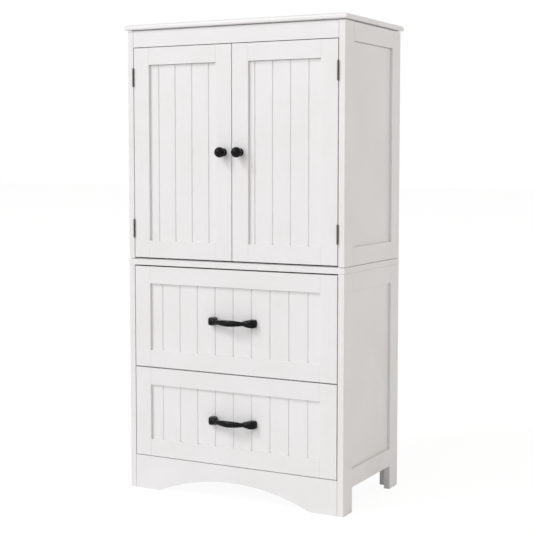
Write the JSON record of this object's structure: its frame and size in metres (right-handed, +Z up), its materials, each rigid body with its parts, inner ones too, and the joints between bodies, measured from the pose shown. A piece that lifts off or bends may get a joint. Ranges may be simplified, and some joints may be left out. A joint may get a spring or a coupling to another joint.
{
  "type": "storage cabinet",
  "caption": "Tall white painted storage cabinet with panelled doors over panelled drawers, round black knobs, bowed black pulls and an arched base.",
  "frame": {"origin": "middle of the whole outline, knobs and top overhang included, on the floor", "axes": "+Z up, the doors and drawers face -Y, +X to the right as seen from the front"},
  "size_m": [0.614, 0.375, 1.1765],
  "materials": {
    "white_paint": "satin white paint on board",
    "drawer_board": "white foil on board",
    "thin_board": "white foil on thin hardboard",
    "black_hardware": "satin black lacquer",
    "hinge_metal": "dark bronze plating",
    "screw_steel": "zinc plated",
    "runner_steel": "zinc plated",
    "bright_steel": "nickel plated",
    "catch_plastic": "matte white plastic"
  },
  "bodies": {
    "carcass": {"bottom_board": "white_paint", "cabinet_runners": "runner_steel", "door_catch": "catch_plastic", "frieze_rail": "white_paint", "front_apron": "white_paint", "front_left_leg": "white_paint", "front_right_leg": "white_paint", "hinge_frame_leaves": "hinge_metal", "hinge_frame_screws": "screw_steel", "hinge_pins": "hinge_metal", "lower_back_panel": "thin_board", "lower_left_side_panel": "white_paint", "lower_right_side_panel": "white_paint", "lower_side_rails": "white_paint", "middle_board": "white_paint", "rear_battens": "white_paint", "rear_left_leg": "white_paint", "rear_right_leg": "white_paint", "shelf": "white_paint", "shelf_pins": "bright_steel", "top_board": "white_paint", "upper_back_panel": "thin_board", "upper_left_posts": "white_paint", "upper_left_side_panel": "white_paint", "upper_right_posts": "white_paint", "upper_right_side_panel": "white_paint", "upper_side_rails": "white_paint"},
    "left_door": {"left_door_hinge_leaves": "hinge_metal", "left_door_knob": "black_hardware", "left_door_panel": "white_paint", "left_door_rails": "white_paint", "left_door_screws": "screw_steel", "left_door_stiles": "white_paint", "left_door_strike_plate": "bright_steel"},
    "right_door": {"right_door_hinge_leaves": "hinge_metal", "right_door_knob": "black_hardware", "right_door_panel": "white_paint", "right_door_rails": "white_paint", "right_door_screws": "screw_steel", "right_door_stiles": "white_paint", "right_door_strike_plate": "bright_steel"},
    "upper_drawer": {"upper_drawer_box_bottom": "thin_board", "upper_drawer_box_ends": "drawer_board", "upper_drawer_box_sides": "drawer_board", "upper_drawer_front_panel": "white_paint", "upper_drawer_front_rails": "white_paint", "upper_drawer_front_stiles": "white_paint", "upper_drawer_pull": "black_hardware", "upper_drawer_runners": "runner_steel", "upper_drawer_screws": "screw_steel"},
    "lower_drawer": {"lower_drawer_box_bottom": "thin_board", "lower_drawer_box_ends": "drawer_board", "lower_drawer_box_sides": "drawer_board", "lower_drawer_front_panel": "white_paint", "lower_drawer_front_rails": "white_paint", "lower_drawer_front_stiles": "white_paint", "lower_drawer_pull": "black_hardware", "lower_drawer_runners": "runner_steel", "lower_drawer_screws": "screw_steel"}
  },
  "joints": [
    {"name": "left_door_hinge", "type": "hinge", "parent": "carcass", "child": "left_door", "pos_m": [-0.2829, -0.15795, 0.85635], "axis": [0, 0, -1], "range_deg": [0, 175]},
    {"name": "right_door_hinge", "type": "hinge", "parent": "carcass", "child": "right_door", "pos_m": [0.2829, -0.15795, 0.85635], "axis": [0, 0, 1], "range_deg": [0, 175]},
    {"name": "upper_drawer_slide", "type": "slide", "parent": "carcass", "child": "upper_drawer", "axis": [0, -1, 0], "range_m": [0, 0.21]},
    {"name": "lower_drawer_slide", "type": "slide", "parent": "carcass", "child": "lower_drawer", "axis": [0, -1, 0], "range_m": [0, 0.21]}
  ]
}
